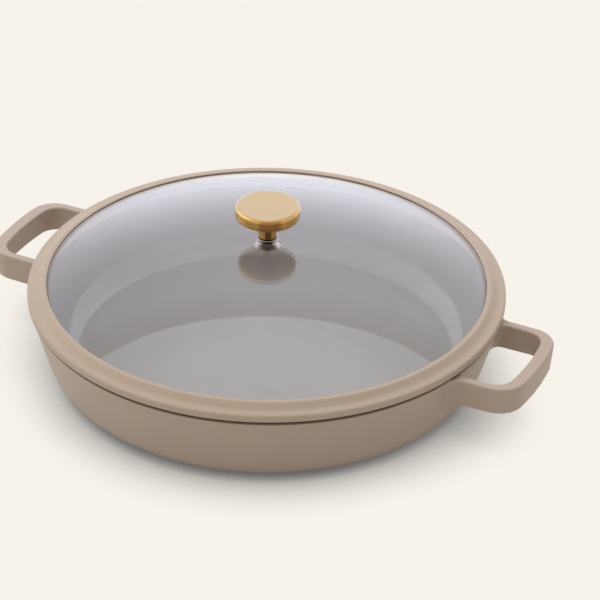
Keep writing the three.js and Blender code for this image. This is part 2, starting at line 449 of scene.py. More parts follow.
@dataclass(frozen=True)
class SatinBrass(Finish):
    """Lacquered brass with fine turning marks, painted pale on top as a highlight, and painted
    brown at its front as a dark reflection that turns near-black on the post as painted shade under
    the disc.
    """

    slot: ClassVar[str] = "satin_brass"
    pale: Colour = (0.460, 0.340, 0.170)
    gold: Colour = (0.665, 0.380, 0.098)
    # Painted dark reflection: brown on the front of the disc; dark on the front of the post, as
    # painted shade under the disc.
    brown: Colour = (0.380, 0.180, 0.046)
    dark: Colour = (0.190, 0.075, 0.015)
    # Where the painted dark reflection faces, and how it fades in.
    painted_front_azimuth: float = 31.0
    painted_front_edge: float = 0.90
    painted_front_core: float = 0.98
    marks_along: float = 9.0
    marks_beside: float = 9000.0
    mark_depth: float = 0.004 * MM
    stain: Layer = Layer(9 * MM, 3.0, share=0.1)
    # Painted highlight: upward faces, broken by random stains, take the pale colour between these
    # two levels.
    lit_top_and_stain_edge: float = 0.45
    lit_top_and_stain_full: float = 0.97
    post_end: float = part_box("knob_head")[0].z - 2 * MM
    disc_start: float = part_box("knob_head")[0].z + 1 * MM
    smooth: float = 0.09
    lit_top_and_stain_rough: float = 0.12
    mark_rough: float = 0.10
    lacquer: float = 0.5
    lacquer_rough: float = 0.08

    def shader(self, tree: ShaderTree) -> Wire:
        """See Finish."""
        marks = tree.turning_marks(self.marks_along, self.marks_beside)
        (stain,) = tree.noises(self.stain)
        normal = tree.geometry("Normal")
        _, _, upward = tree.parts(normal)
        _, _, high = tree.parts(tree.coordinates())
        front = normal.along(heading(self.painted_front_azimuth)) / tree.level_length(normal)
        # Painted dark reflection: faces turned to the front take brown on the disc and the darker
        # colour on the post.
        painted_front = tree.eased(front, self.painted_front_edge, self.painted_front_core)
        disc = tree.eased(high, self.post_end, self.disc_start)
        side = tree.blend(self.gold, tree.blend(self.dark, self.brown, disc), painted_front)
        stained = upward + (stain - 0.5) * self.stain.share
        # Painted highlight on the top, with random stains at its edge; the same share also roughens
        # the top.
        lit_top_and_stain = tree.eased(stained, self.lit_top_and_stain_edge, self.lit_top_and_stain_full)
        return tree.principled(
            {
                "Base Color": tree.blend(side, self.pale, lit_top_and_stain),
                "Metallic": 1.0,
                "Roughness": self.smooth + self.lit_top_and_stain_rough * lit_top_and_stain + self.mark_rough * marks,
                "Coat Weight": self.lacquer,
                "Coat Roughness": self.lacquer_rough,
                "Normal": tree.bump(marks, self.mark_depth),
            }
        )


@dataclass(frozen=True)
class ClearGlass(Finish):
    """Clear tempered glass that lets lamps and soft light through to the pan."""

    slot: ClassVar[str] = "lid_glass"
    tint: Colour = (0.985, 0.992, 0.990)
    passed: Colour = (0.925, 0.93, 0.935)
    index: float = 1.5
    wave: Layer = Layer(60 * MM, 0.0, depth=0.012 * MM)
    haze: Layer = Layer(25 * MM, 2.0)
    haze_rough: float = 0.02

    def shader(self, tree: ShaderTree) -> Wire:
        """See Finish."""
        wave, haze = tree.noises(self.wave, self.haze)
        glass = tree.principled(
            {
                "Base Color": (*self.tint, 1.0),
                "Roughness": self.haze_rough * haze,
                "IOR": self.index,
                "Transmission Weight": 1.0,
                "Normal": tree.bump(wave, self.wave.depth),
            }
        )
        clear = tree.node("ShaderNodeBsdfTransparent", sockets={"Color": (*self.passed, 1.0)})
        soft = tree.ray(Ray.SHADOW).at_least(tree.ray(Ray.DIFFUSE))
        return tree.node("ShaderNodeMixShader", sockets={0: soft, 1: glass, 2: clear})


@dataclass(frozen=True)
class ClearSilicone(Finish):
    """Clear silicone of the bush and pad, faintly grained; inside a given radius it takes a core
    colour, which the bush sets near-black as painted shade.
    """

    slot: ClassVar[str] = "clear_silicone"
    clear: Colour = (0.93, 0.92, 0.90)
    core: Colour = (0.93, 0.92, 0.90)
    core_reach: float = 6.02 * MM
    clear_reach: float = 6.08 * MM
    index: float = 1.06
    grain: Layer = Layer(0.8 * MM, 3.0, depth=0.01 * MM)
    smooth: float = 0.02
    uneven: float = 0.06

    def shader(self, tree: ShaderTree) -> Wire:
        """See Finish."""
        (grain,) = tree.noises(self.grain)
        # Painted shade: inside core_reach the colour turns to the core colour, near-black on the
        # bush.
        ring = tree.eased(tree.from_axis(), self.core_reach, self.clear_reach)
        return tree.principled(
            {
                "Base Color": tree.blend(self.core, self.clear, ring),
                "Roughness": self.smooth + self.uneven * grain,
                "IOR": self.index,
                "Transmission Weight": 1.0,
                "Normal": tree.bump(grain, self.grain.depth),
            }
        )


@dataclass(frozen=True)
class FixingSteel(Finish):
    """Zinc-plated steel of the washer and screw, with turning marks."""

    slot: ClassVar[str] = "fixing_steel"
    bright: Colour = (0.62, 0.62, 0.63)
    dull: Colour = (0.48, 0.48, 0.50)
    marks_along: float = 5.0
    marks_beside: float = 5000.0
    mark_depth: float = 0.005 * MM
    smooth: float = 0.26
    uneven: float = 0.16

    def shader(self, tree: ShaderTree) -> Wire:
        """See Finish."""
        marks = tree.turning_marks(self.marks_along, self.marks_beside)
        return tree.principled(
            {
                "Base Color": tree.blend(self.bright, self.dull, marks),
                "Metallic": 1.0,
                "Roughness": self.smooth + self.uneven * marks,
                "Normal": tree.bump(marks, self.mark_depth),
            }
        )


# Meshes


@dataclass(frozen=True)
class Corner:
    """A corner of an outline, rounded by its fillet."""

    across: float
    up: float
    fillet: float = 0.0

    @property
    def spot(self) -> Vector:
        """The corner's place."""
        return Vector((self.across, self.up))


@dataclass(frozen=True)
class Outline:
    """An outline of straight runs and round fillets."""

    corners: Sequence[Corner]
    arc_step: float = ARC_STEP
    room_share: float = 0.49
    hold: float = 0.25 * MM
    hold_share: float = 0.5

    def points(self) -> list[Point]:
        """The outline's points, with a holding point beside each fillet."""
        made: list[Point] = []
        for index, corner in enumerate(self.corners):
            made += self._round(index) if corner.fillet else [(corner.across, corner.up)]
        return made

    def _round(self, index: int) -> list[Point]:
        """Rounds one corner.

        Args:
            index: The corner's number.

        Returns:
            The fillet's points, with its holding points.
        """
        count = len(self.corners)
        corner = self.corners[index]
        back = self.corners[(index - 1) % count].spot - corner.spot
        ahead = self.corners[(index + 1) % count].spot - corner.spot
        room = self.room_share * min(back.length, ahead.length)
        back.normalize()
        ahead.normalize()
        half = back.angle(ahead) / 2
        setback = min(corner.fillet / math.tan(half), room)
        radius = setback * math.tan(half)
        middle = (back + ahead).normalized()
        centre = corner.spot + middle * (radius / math.sin(half))
        first = corner.spot + back * setback - centre
        sweep = math.pi - 2 * half
        turn = math.copysign(sweep, back.y * ahead.x - back.x * ahead.y)
        steps = max(2, math.ceil(sweep / self.arc_step))
        arc = [
            centre + Matrix.Rotation(turn * step / steps, 2) @ first for step in range(steps + 1)
        ]
        hold = min(self.hold, self.hold_share * radius, room - setback)
        if hold > 0.0:
            arc = [arc[0] + back * hold, *arc, arc[-1] + ahead * hold]
        return [(point.x, point.y) for point in arc]


def linked(name: str, data: bpy.types.ID) -> bpy.types.Object:
    """Makes an object and links it into the scene.

    Args:
        name: The object's name.
        data: Its mesh, lamp or camera.

    Returns:
        The object.
    """
    made = bpy.data.objects.new(name, data)
    bpy.context.scene.collection.objects.link(made)
    return made


def smooth_object(
    name: str, spots: Sequence[Vector], faces: Sequence[Sequence[int]]
) -> bpy.types.Object:
    """Makes a smooth-shaded object whose sharp edges stay sharp.

    Args:
        name: The object's name.
        spots: Its vertices.
        faces: Its faces, as vertex numbers.

    Returns:
        The object, linked into the scene.
    """
    mesh = bpy.data.meshes.new(name)
    mesh.from_pydata([tuple(spot) for spot in spots], [], [tuple(face) for face in faces])
    editable = bmesh.new()
    editable.from_mesh(mesh)
    bmesh.ops.recalc_face_normals(editable, faces=editable.faces)
    editable.to_mesh(mesh)
    editable.free()
    mesh.shade_smooth()
    mesh.set_sharp_from_angle(angle=SHARP_ANGLE)
    return linked(name, mesh)


def skin(rings: Sequence[Sequence[int]]) -> list[list[int]]:
    """Joins each ring of vertices to the next.

    Args:
        rings: The rings' vertex numbers, equally many in each.

    Returns:
        The faces between them, without the corners that fall together.
    """
    faces = []
    for low, high in zip(rings, rings[1:]):
        for step in range(len(low)):
            after = (step + 1) % len(low)
            loop = (low[step], low[after], high[after], high[step])
            faces.append(list(dict.fromkeys(loop)))
    return faces


def turned(
    name: str,
    corners: Sequence[Corner],
    turning: Turning,
    segments: int,
    arc_step: float = ARC_STEP,
    reshape: Reshape | None = None,
) -> bpy.types.Object:
    """Turns an outline about the pan's axis.

    Args:
        name: The object's name.
        corners: The outline's corners, at their radius and height.
        turning: How the outline closes.
        segments: Steps round the axis.
        arc_step: The largest turn between two points of a fillet.
        reshape: Gives another radius for a point's number and an angle, or None to keep it.

    Returns:
        The object.
    """
    points = Outline(corners, arc_step).points()
    spots: list[Vector] = []
    rings: list[list[int]] = []
    for number, (radius, height) in enumerate(points):
        on_axis = turning is Turning.SOLID and number in (0, len(points) - 1)
        start = len(spots)
        for step in range(1 if on_axis else segments):
            angle = math.tau * step / segments
            changed = reshape(number, angle) if reshape else None
            reach = radius if changed is None else changed
            spots.append(Vector((reach * math.cos(angle), reach * math.sin(angle), height)))
        rings.append([start] * segments if on_axis else list(range(start, len(spots))))
    if turning is Turning.RING:
        rings.append(rings[0])
    return smooth_object(name, spots, skin(rings))


@dataclass(frozen=True)
class Piece:
    """One visible piece: its object, its finish and the node that it stands for."""

    shape: bpy.types.Object
    finish: Finish
    node: str

    def fit(self, body: Body) -> None:
        """Dresses the piece and sets it in the frame.

        Args:
            body: The body that carries it.
        """
        self.shape.data.materials.append(material_of(self.finish))
        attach(self.shape, body.value)
        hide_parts(self.node)
        faces = len(self.shape.data.polygons)
        LOG.info("%s stands for %s, %d faces", self.shape.name, self.node, faces)


class SubAssembly(ABC):
    """A group of pieces that one body carries."""

    body: ClassVar[Body]

    @abstractmethod
    def pieces(self) -> Iterator[Piece]:
        """Builds the group's pieces."""

    def assemble(self) -> None:
        """Builds the pieces and sets each in the frame."""
        for piece in self.pieces():
            piece.fit(self.body)


# The pan


@dataclass
class PanSizes:
    """Driving sizes of the casting, shared by what is fitted to it."""

    lip_radius: float = 155 * MM
    height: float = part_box("pan_body")[1].z
    lean: float = math.radians(15.3)
    wall: float = 3.4 * MM
    floor: float = 4 * MM
    outer_corner: float = 28 * MM
    inner_corner: float = 24 * MM

    def wall_radius(self, height: float, depth: float = 0.0) -> float:
        """Radius of the leaning wall at a height, some depth in from its outer face."""
        rise = self.height - height
        return self.lip_radius - rise * math.tan(self.lean) - depth / math.cos(self.lean)


@dataclass
class Casting(SubAssembly):
    """The cast pan: foot ring, round corner, leaning wall and rounded lip."""

    body: ClassVar[Body] = Body.PAN
    sizes: PanSizes
    lip_round: float = 0.3 * MM
    lip_fall: float = 1.1 * MM
    foot_width: float = 20 * MM
    foot_recess: float = 0.8 * MM
    foot_edge: float = 0.6 * MM
    segments: int = 192

    def pieces(self) -> Iterator[Piece]:
        """Builds the casting."""
        pan = self.sizes
        corner_run = pan.outer_corner * math.tan((math.pi / 2 - pan.lean) / 2)
        hollow = pan.wall_radius(0.0) - corner_run - self.foot_width
        corners = (
            Corner(0.0, self.foot_recess),
            Corner(hollow - self.foot_recess, self.foot_recess, self.foot_edge),
            Corner(hollow, 0.0, self.foot_edge),
            Corner(pan.wall_radius(0.0), 0.0, pan.outer_corner),
            Corner(pan.lip_radius, pan.height - self.lip_fall, self.lip_round),
            Corner(pan.wall_radius(pan.height, pan.wall), pan.height, self.lip_round),
            Corner(pan.wall_radius(pan.floor, pan.wall), pan.floor, pan.inner_corner),
            Corner(0.0, pan.floor),
        )
        shell = turned("pan_casting", corners, Turning.SOLID, self.segments)
        yield Piece(shell, SprayedCoat(), "pan_body")


@dataclass
class CookingSurface(SubAssembly):
    """The grey ceramic layer over the casting's floor and wall."""

    body: ClassVar[Body] = Body.PAN
    sizes: PanSizes
    gap: float = 0.1 * MM
    thickness: float = 0.8 * MM
    drop: float = 1.2 * MM
    edge_round: float = 0.35 * MM
    arc_step: float = math.radians(4.0)
    segments: int = 192

    def pieces(self) -> Iterator[Piece]:
        """Builds the layer."""
        pan = self.sizes
        back = pan.wall + self.gap
        face = back + self.thickness
        back_floor = pan.floor + self.gap
        face_floor = back_floor + self.thickness
        top = pan.height - self.drop
        corners = (
            Corner(0.0, back_floor),
            Corner(pan.wall_radius(back_floor, back), back_floor, pan.inner_corner - self.gap),
            Corner(pan.wall_radius(top, back), top),
            Corner(pan.wall_radius(top, face), top, self.edge_round),
            Corner(
                pan.wall_radius(face_floor, face),
                face_floor,
                pan.inner_corner - self.gap - self.thickness,
            ),
            Corner(0.0, face_floor),
        )
        layer = turned(
            "pan_cooking_layer", corners, Turning.SOLID, self.segments, self.arc_step
        )
        yield Piece(layer, GreyCeramic(), "ceramic_lining")


@dataclass
class LoopHandle(SubAssembly):
    """A loop handle: an upright strap that flows out of the wall and round a bowed grip."""

    body: ClassVar[Body] = Body.PAN
    sizes: PanSizes
    side: Side
    bar_width: float = 79 * MM
    root_width: float = 80 * MM
    bar_thickness: float = 9 * MM
    arm_thickness: float = 6.2 * MM
    bend_outside: float = 18 * MM
    bend_inside: float = 12 * MM
    bar_lift: float = 0.3 * MM
    draft: float = 2.2 * MM
    outer_draft: float = 1.5 * MM
    edge_round: float = 1.2 * MM
    grip_round: float = 1.8 * MM
    root_fillet: float = 7 * MM
    sunk: float = 1.2 * MM
    fillet_steps: int = 8
    plan_step: float = math.radians(5.0)
    section_step: float = math.radians(12.0)
    node: str = field(init=False)
    reach: float = field(init=False)
    foot: float = field(init=False)
    top: float = field(init=False)

    def __post_init__(self) -> None:
        """Takes the strap's reach and height from its node."""
        self.node = f"handle_{self.side.name.lower()}"
        low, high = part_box(self.node)
        self.reach = max(high.x, -low.x)
        self.foot = low.z
        self.top = high.z

    @property
    def bow(self) -> float:
        """Angle at the pan's axis between the handle's middle and the middle of half the bar."""
        return math.asin(self.bar_width / 4 / self.reach)

    def stations(self) -> list[tuple[Vector, Vector]]:
        """Pairs of points on the strap's outer and inner face in plan, from root to root."""
        bow = self.bow
        grip = self.reach - self.bar_thickness
        outer_root = self.root_width / 2
        outer_root_x = math.sqrt(self.sizes.wall_radius(self.foot) ** 2 - outer_root**2)
        outer_y = self.bar_width / 2
        outer_x = self.reach / math.cos(bow) - outer_y * math.tan(bow)
        splay = math.atan2(outer_root - outer_y, outer_x - outer_root_x)
        inner_root = outer_root - self.arm_thickness / math.cos(splay)
        axis_y = inner_root + outer_root_x * math.tan(splay)
        inner_x = (grip / math.cos(bow) - axis_y * math.tan(bow)) / (
            1.0 - math.tan(bow) * math.tan(splay)
        )
        inner_y = axis_y - inner_x * math.tan(splay)
        outer = self.face(outer_root_x, outer_root, outer_x, outer_y, self.reach, self.bend_outside)
        inner = self.face(outer_root_x, inner_root, inner_x, inner_y, grip, self.bend_inside)
        return list(zip(outer, inner, strict=True))

    def face(
        self, root_x: float, root_y: float, bar_x: float, bar_y: float, middle: float, bend: float
    ) -> list[Vector]:
        """One face of the strap in plan.

        Args:
            root_x: Where the face starts, along the handle's reach.
            root_y: Where it starts, across the handle.
            bar_x: Where the lines of arm and bar cross, along the reach.
            bar_y: Where they cross, across the handle.
            middle: Radius of the bowed bar about the pan's axis.
            bend: Radius of the bends.

        Returns:
            The face's points.
        """
        corners = (
            Corner(root_x, root_y),
            Corner(bar_x, bar_y, bend),
            Corner(middle / math.cos(self.bow), 0.0, middle),
            Corner(bar_x, -bar_y, bend),
            Corner(root_x, -root_y),
        )
        return [Vector((*spot, 0.0)) for spot in Outline(corners, self.plan_step).points()]

    def section(self, thickness: float, lift: float) -> list[tuple[Vector, Vector]]:
        """The strap's section, from its outer face inwards.

        Args:
            thickness: The strap's thickness at its top.
            lift: How far the lower edge is over the foot of its root.

        Returns:
            Each point, across and up, with its outward direction.
        """
        share = thickness / self.bar_thickness
        foot = self.foot + lift
        points = Outline(
            (
                Corner(self.outer_draft * share, foot, self.edge_round),
                Corner(thickness - self.draft * share, foot, self.grip_round),
                Corner(thickness, self.top, self.edge_round),
                Corner(0.0, self.top, self.edge_round),
            ),
            self.section_step,
        ).points()
        made = []
        for index, (x, y) in enumerate(points):
            before = Vector(points[index - 1])
            after = Vector(points[(index + 1) % len(points)])
            along = (after - before).normalized()
            made.append((Vector((x, y)), Vector((along.y, -along.x))))
        return made

    def to_wall(self, spot: Vector, course: Vector) -> Vector:
        """Follows a level line to the outer face of the wall.

        Args:
            spot: A point outside the wall.
            course: The line's level direction, towards the wall.

        Returns:
            The point on the wall.
        """
        radius = self.sizes.wall_radius(spot.z)
        level = Vector((spot.x, spot.y, 0.0))
        ahead = level.dot(course)
        run = -ahead - math.sqrt(ahead**2 - level.length_squared + radius**2)
        return spot + course * run

    def ring(self, outer: Vector, inner: Vector) -> list[Vector]:
        """The strap's section between two points of its faces."""
        across = (inner - outer).normalized()
        section = self.section((inner - outer).length, self.bar_lift)
        return [outer + across * x + UP * y for (x, y), _ in section]

    def root_rings(self, outer: Vector, inner: Vector, course: Vector) -> list[list[Vector]]:
        """The sections of the fillet where an arm flows into the wall.

        Args:
            outer: A point on the arm's outer face.
            inner: The point across from it on the inner face.
            course: The arm's direction towards the wall.

        Returns:
            The sections, from the arm to just inside the wall.
        """
        across = (inner - outer).normalized()
        section = self.section((inner - outer).length, 0.0)
        rings = []
        for step in range(self.fillet_steps + 2):
            turn = math.pi / 2 * min(step, self.fillet_steps) / self.fillet_steps
            clear = self.root_fillet * (1.0 - math.sin(turn))
            flare = self.root_fillet * (1.0 - math.cos(turn))
            if step > self.fillet_steps:
                clear = -self.sunk
            ring = []
            for (x, y), outward in section:
                x += flare * outward.x
                y += flare * min(outward.y, 0.0)
                on_wall = self.to_wall(outer + across * x + UP * y, course)
                ring.append(on_wall - course * clear)
            rings.append(ring)
        return rings

    def pieces(self) -> Iterator[Piece]:
        """Builds the strap."""
        line = self.stations()
        near, far = (line[0][0] - line[1][0]), (line[-1][0] - line[-2][0])
        starts = self.root_rings(*line[1], near.normalized())
        ends = self.root_rings(*line[-2], far.normalized())
        rings = [*reversed(starts), *(self.ring(*pair) for pair in line[1:-1]), *ends]
        count = len(rings[0])
        spots = [spot for ring in rings for spot in ring]
        loops = [list(range(start, start + count)) for start in range(0, len(spots), count)]
        faces = [loops[0], loops[-1], *skin(loops)]
        strap = smooth_object(f"pan_{self.node}", spots, faces)
        strap.data.transform(Matrix.Rotation(math.radians(self.side.value), 4, "Z"))
        yield Piece(strap, SprayedCoat(), self.node)


# The lid


@dataclass
class Dome:
    """The sphere of the lid's glass, set by the glass node's own box."""

    rise: float = 29.4 * MM
    rim_inner: float = 143.8 * MM
    thickness: float = 4 * MM
    hole: float = 4 * MM
    edge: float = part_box("lid_glass")[1].y
    hole_top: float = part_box("lid_glass")[1].z

    @property
    def radius(self) -> float:
        """Radius of the upper face."""
        return (self.rim_inner**2 + self.rise**2) / (2 * self.rise)

    @property
    def centre(self) -> float:
        """Height of the sphere's centre."""
        return self.hole_top - math.sqrt(self.radius**2 - self.hole**2)

    @property
    def crown(self) -> float:
        """Height of the top of the glass."""
        return self.centre + self.radius

    def height(self, across: float, depth: float = 0.0) -> float:
        """Height of the glass at a distance from the axis, some depth in from its upper face."""
        return self.centre + math.sqrt((self.radius - depth) ** 2 - across**2)


@dataclass
class GlassLid(SubAssembly):
    """Domed glass in its silicone rim."""

    body: ClassVar[Body] = Body.LID
    sizes: PanSizes
    dome: Dome
    dome_steps: int = 44
    ground_edge: float = 1 * MM
    hole_edge: float = 0.4 * MM
    seat_gap: float = 0.03 * MM
    groove_gap: float = 0.3 * MM
    upper_lip: float = 0.6 * MM
    lip_width: float = 3 * MM
    lip_round: float = 0.5 * MM
    lip_shoulder: float = 1.8 * MM
    lower_lip: float = 1.65 * MM
    lower_setback: float = 0.6 * MM
    ledge_drop: float = 0.65 * MM
    ledge_inset: float = 2.3 * MM
    ledge_valley: float = 5 * MM
    ledge_fall: float = 0.6 * MM
    bead_round: float = 1.5 * MM
    edge_lift: float = 1.75 * MM
    edge_round: float = 0.3 * MM
    seat_width: float = 5.4 * MM
    skirt_depth: float = 5 * MM
    skirt_thickness: float = 2.4 * MM
    skirt_inset: float = 5.25 * MM
    soft_edge: float = 0.6 * MM
    segments: int = 192

    def pieces(self) -> Iterator[Piece]:
        """Builds the glass and its rim."""
        yield Piece(self.glass(), ClearGlass(), "lid_glass")
        yield Piece(self.rim(), MouldedSilicone(), "lid_rim")

    def glass(self) -> bpy.types.Object:
        """Builds the domed glass, with its edges ground round."""
        dome = self.dome
        runs = [
            dome.hole + (dome.edge - dome.hole) * step / self.dome_steps
            for step in range(self.dome_steps + 1)
        ]
        edges = {runs[0]: self.hole_edge, runs[-1]: self.ground_edge}
        under = [Corner(x, dome.height(x, dome.thickness), edges.get(x, 0.0)) for x in runs]
        over = [Corner(x, dome.height(x), edges.get(x, 0.0)) for x in reversed(runs)]
        return turned("lid_glass_dome", (*under, *over), Turning.RING, self.segments)

    def rim(self) -> bpy.types.Object:
        """Builds the silicone rim: groove, ledge over the lip, and skirt."""
        dome, pan = self.dome, self.sizes
        low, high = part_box("lid_rim")
        inner, outer = dome.rim_inner, high.y
        groove = dome.edge + self.groove_gap
        seat = low.z + self.skirt_depth
        over = -self.seat_gap
        peak = dome.height(inner, over) + self.upper_lip
        under = dome.thickness + self.seat_gap
        lower = inner + self.lower_setback
        ledge = dome.height(groove, over) - self.ledge_drop
        skirt_top = pan.wall_radius(pan.height, self.skirt_inset)
        skirt_foot = pan.wall_radius(pan.height - self.skirt_depth, self.skirt_inset)
        corners = (
            Corner(inner, dome.height(inner, over)),
            Corner(groove, dome.height(groove, over)),
            Corner(groove, dome.height(groove, under)),
            Corner(lower, dome.height(lower, under)),
            Corner(lower, dome.height(lower, under) - self.lower_lip, self.soft_edge),
            Corner(skirt_top - self.skirt_thickness, seat, self.soft_edge),
            Corner(skirt_foot - self.skirt_thickness, low.z, self.soft_edge),
            Corner(skirt_foot, low.z, self.soft_edge),
            Corner(skirt_top, seat, self.soft_edge),
            Corner(outer - self.seat_width, seat, self.soft_edge),
            Corner(outer, seat + self.edge_lift, self.edge_round),
            Corner(outer, ledge - self.ledge_fall, self.bead_round),
            Corner(groove + self.ledge_inset, ledge, self.ledge_valley),
            Corner(inner + self.lip_width, peak, self.lip_shoulder),
            Corner(inner, peak, self.lip_round),
        )
        return turned("lid_silicone_rim", corners, Turning.RING, self.segments)


@dataclass
class Knob(SubAssembly):
    """The brass knob: a thick disc on a plain post."""

    body: ClassVar[Body] = Body.LID
    top_round: float = 2.2 * MM
    under_round: float = 2.6 * MM
    socket: float = 4.3 * MM
    spigot: float = 4 * MM
    socket_gap: float = 0.3 * MM
    post_foot: float = 6 * MM
    foot_round: float = 1 * MM
    bore: float = 2.8 * MM
    bore_depth: float = 9.3 * MM
    segments: int = 128

    def pieces(self) -> Iterator[Piece]:
        """Builds the disc and the post."""
        yield Piece(self.disc(), SatinBrass(), "knob_head")
        yield Piece(self.post(), SatinBrass(), "knob_stem")

    def disc(self) -> bpy.types.Object:
        """Builds the disc, with a socket for the post."""
        low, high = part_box("knob_head")
        socket_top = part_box("knob_stem")[1].z + self.socket_gap
        corners = (
            Corner(0.0, socket_top),
            Corner(self.socket, socket_top),
            Corner(self.socket, low.z),
            Corner(high.y, low.z, self.under_round),
            Corner(high.y, high.z, self.top_round),
            Corner(0.0, high.z),
        )
        return turned("knob_disc", corners, Turning.SOLID, self.segments)

    def post(self) -> bpy.types.Object:
        """Builds the post, with a spigot above and a blind hole for the screw."""
        low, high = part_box("knob_stem")
        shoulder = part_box("knob_head")[0].z
        bore_top = low.z + self.bore_depth
        corners = (
            Corner(0.0, bore_top),
            Corner(self.bore, bore_top),
            Corner(self.bore, low.z),
            Corner(self.post_foot, low.z, self.foot_round),
            Corner(high.y, shoulder),
            Corner(self.spigot, shoulder),
            Corner(self.spigot, high.z),
            Corner(0.0, high.z),
        )
        return turned("knob_post", corners, Turning.SOLID, self.segments)


@dataclass
class KnobFixing(SubAssembly):
    """What holds the knob: bush, pad and washer round a screw from below."""

    body: ClassVar[Body] = Body.LID
    dome: Dome
    bore: float = 2.8 * MM
    sleeve: float = 3.7 * MM
    core: float = 6 * MM
    # Painted shade: the bush's core is near-black, standing in for the shaded bore seen through its
    # clear ring.
    core_shade_colour: Colour = (0.03, 0.025, 0.02)
    bush_index: float = 1.32
    slit: float = 0.1 * MM
    slit_floor: float = 0.2 * MM
    collar: float = 7.3 * MM
    edge_round: float = 0.4 * MM
    screw_round: float = 1.2 * MM
    shank: float = 2.5 * MM
    head_height: float = 2.8 * MM
    recess_reach: float = 2.6 * MM
    recess_half: float = 0.55 * MM
    recess_depth: float = 1.6 * MM
    recess_rings: tuple[int, int] = (1, 2)
    least_part: float = 1e-9
    segments: int = 96

    def pieces(self) -> Iterator[Piece]:
        """Builds the bush, pad, washer and screw."""
        bush_finish = ClearSilicone(core=self.core_shade_colour, index=self.bush_index)
        yield Piece(self.bush(), bush_finish, "knob_bush")
        yield Piece(self.ring("knob_pad", "knob_pad_ring"), ClearSilicone(), "knob_pad")
        yield Piece(self.ring("knob_washer", "knob_washer_ring"), FixingSteel(), "knob_washer")
        yield Piece(self.screw(), FixingSteel(), "knob_screw")

    def bush(self) -> bpy.types.Object:
        """Builds the bush: a sleeve through the glass and a core in a clear ring under the post."""
        low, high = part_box("knob_bush")
        seat = self.dome.crown
        corners = (
            Corner(self.bore, low.z),
            Corner(self.sleeve, low.z),
            Corner(self.sleeve, seat),
            Corner(self.collar, seat, self.edge_round),
            Corner(self.collar, high.z, self.edge_round),
            Corner(self.core + self.slit, high.z),
            Corner(self.core + self.slit, seat + self.slit_floor),
            Corner(self.core, seat + self.slit_floor),
            Corner(self.core, high.z),
            Corner(self.bore, high.z),
        )
        return turned("knob_bush_flange", corners, Turning.RING, self.segments)

    def ring(self, node: str, name: str) -> bpy.types.Object:
        """Builds a flat ring round the screw.

        Args:
            node: The node that it stands for.
            name: The piece's name.

        Returns:
            The ring.
        """
        low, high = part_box(node)
        corners = (
            Corner(self.bore, low.z),
            Corner(high.y, low.z, self.edge_round),
            Corner(high.y, high.z, self.edge_round),
            Corner(self.bore, high.z),
        )
        return turned(name, corners, Turning.RING, self.segments)

    def cross(self, angle: float) -> float:
        """Radius of the screw's cross recess at an angle."""
        wide = abs(math.cos(angle)) + self.least_part
        deep = abs(math.sin(angle)) + self.least_part
        lying = min(self.recess_reach / wide, self.recess_half / deep)
        upright = min(self.recess_half / wide, self.recess_reach / deep)
        return max(lying, upright)

    def screw(self) -> bpy.types.Object:
        """Builds the screw, with a cross recess in its rounded head."""
        low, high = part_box("knob_screw")
        seat = low.z + self.head_height
        recess = low.z + self.recess_depth
        corners = (
            Corner(0.0, recess),
            Corner(self.recess_half, recess),
            Corner(self.recess_half, low.z),
            Corner(self.recess_reach + self.edge_round, low.z),
            Corner(high.y, low.z, self.screw_round),
            Corner(high.y, seat),
            Corner(self.shank, seat),
            Corner(self.shank, high.z),
            Corner(0.0, high.z),
        )

        def recessed(number: int, angle: float) -> float | None:
            """Shapes the two rings of the recess."""
            return self.cross(angle) if number in self.recess_rings else None

        return turned(
            "knob_fixing_screw", corners, Turning.SOLID, self.segments, reshape=recessed
        )


# The studio


@dataclass(frozen=True)
class StripLamp:
    """A broad lamp that stands behind the pan and fades towards its top, foot and sides."""

    azimuth: float = 206.2
    distance: float = 0.42
    width: float = 2.4
    height: float = 1.0
    knee: float = 0.5
    base: float = 0.3
    base_gain: float = 0.3
    foot_full: float = 0.11
    foot_fade: float = 0.02
    foot_loss: float = 0.55
    side_fade: float = 0.3
    side_loss: float = 0.2
    colour: Colour = (0.48, 0.51, 0.70)

    @property
    def outward(self) -> Vector:
        """The direction from the pan's axis to the lamp."""
        return heading(self.azimuth)

    @property
    def sideways(self) -> Vector:
        """The level direction along the lamp's face."""
        return UP.cross(self.outward)

    def behind(self, tree: ShaderTree) -> Wire:
        """How far a surface lies behind the lamp, in metres."""
        return tree.geometry("Position").along(self.outward) - self.distance

    def level(self, tree: ShaderTree) -> Wire:
        """Adds the lamp's level over its face.

        Args:
            tree: The lamp's tree.

        Returns:
            The level, where 1 is the lamp's own colour.
        """
        place = tree.geometry("Position")
        _, _, high = tree.parts(place)
        beside = place.along(self.sideways)
        spread = 1.0 - self.side_loss * tree.eased(beside * beside, 0.0, self.side_fade**2)
        base = 1.0 + self.base_gain * tree.eased(high, self.base, 0.0)
        foot = 1.0 - self.foot_loss * tree.eased(high, self.foot_full, self.foot_fade)
        return tree.eased(high, self.height, self.knee) * base * foot * spread

    def build(self) -> None:
        """Makes the lamp and stands it behind the pan."""
        data = bpy.data.lights.new("strip_lamp", "AREA")
        data.shape = "RECTANGLE"
        data.size = self.width
        data.size_y = self.height
        data.energy = math.pi * self.width * self.height
        tree = ShaderTree(data)
        sockets = {"Color": (*self.colour, 1.0), "Strength": self.level(tree)}
        tree.show(tree.node("ShaderNodeEmission", sockets=sockets), "ShaderNodeOutputLight")
        lamp = linked("strip_lamp", data)
        lamp.visible_camera = False
        axes = Matrix((self.sideways, UP, self.outward)).transposed()
        spot = self.outward * self.distance + UP * self.height / 2
        lamp.matrix_world = Matrix.Translation(spot) @ axes.to_4x4()


